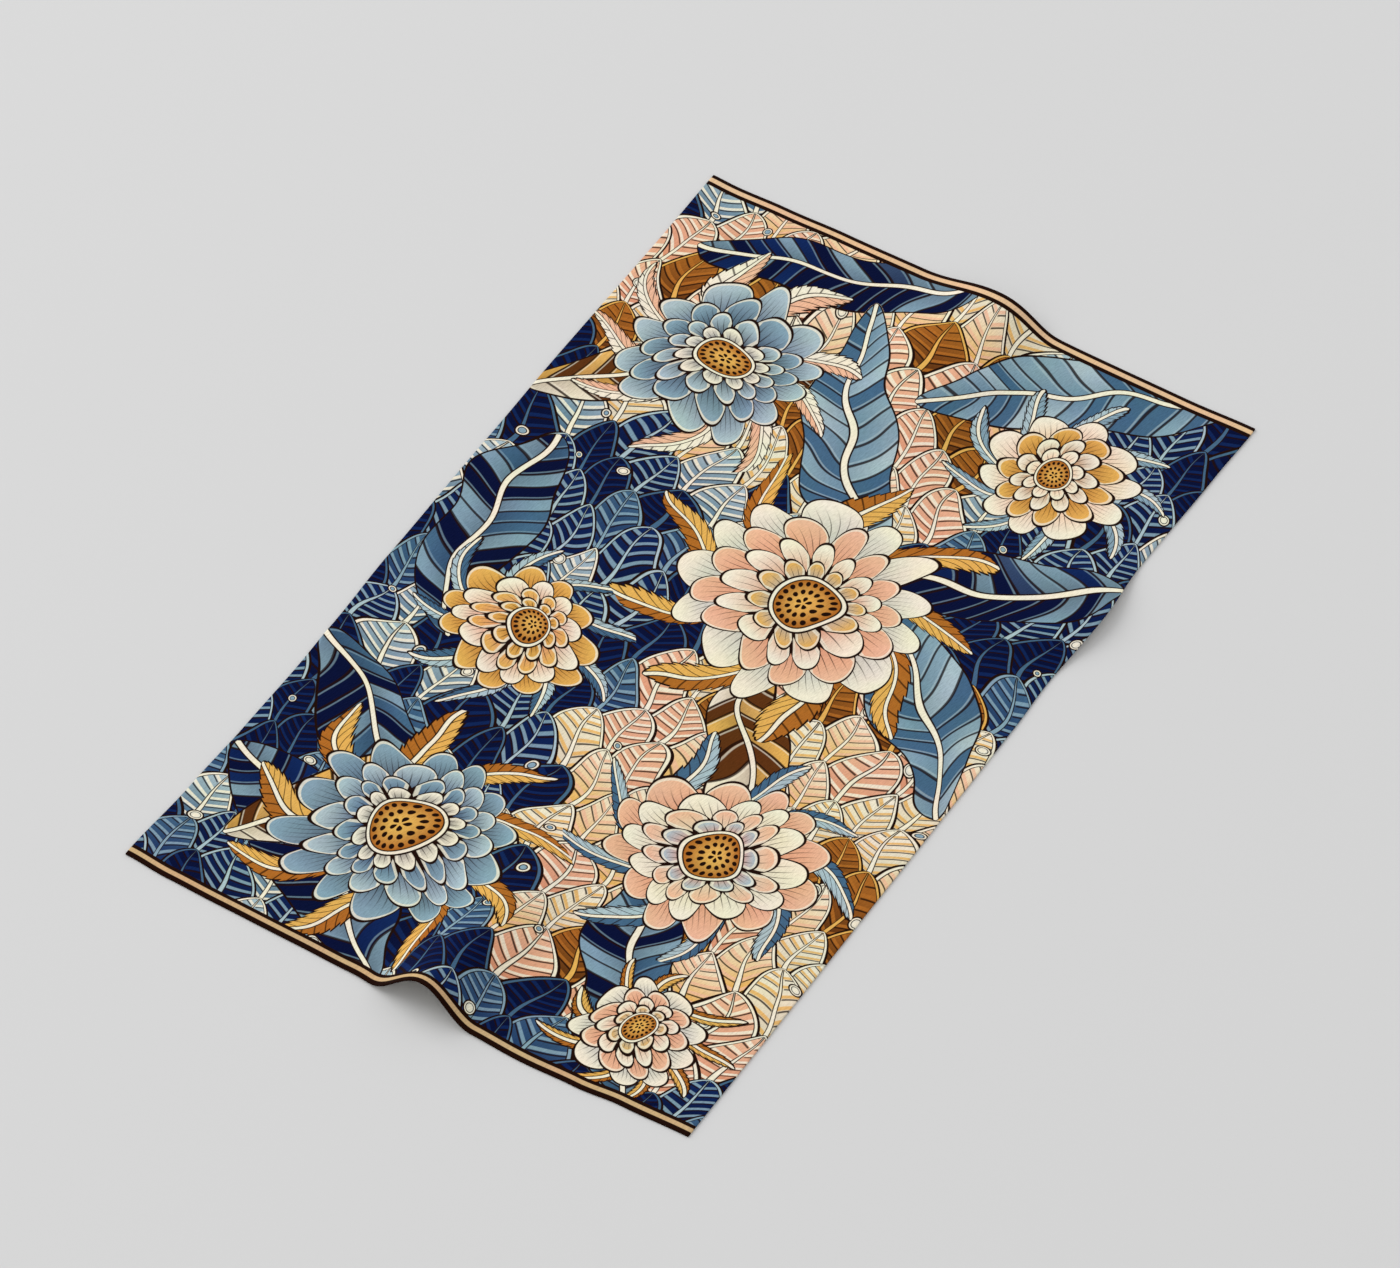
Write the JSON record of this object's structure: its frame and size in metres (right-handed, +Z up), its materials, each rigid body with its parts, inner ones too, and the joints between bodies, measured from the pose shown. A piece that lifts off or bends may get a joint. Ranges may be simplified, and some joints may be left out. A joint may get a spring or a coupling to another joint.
{
  "type": "beach towel",
  "caption": "Rectangular printed beach towel laid out on a surface, with a lifted fold at each end and a low one on a long edge.",
  "frame": {"origin": "under the middle of the towel's box, on the surface that the towel lies on", "axes": "+Z up from the surface, +Y along the towel towards its far end, +X across it towards the long edge with the low fold"},
  "size_m": [0.8874, 1.536, 0.0578],
  "materials": {
    "towel_cloth": "sheared terry velour, printed in navy, slate blue, cream, peach and gold with dark outlines; pale looped back"
  },
  "bodies": {
    "root": {"towel": "towel_cloth"}
  },
  "joints": []
}
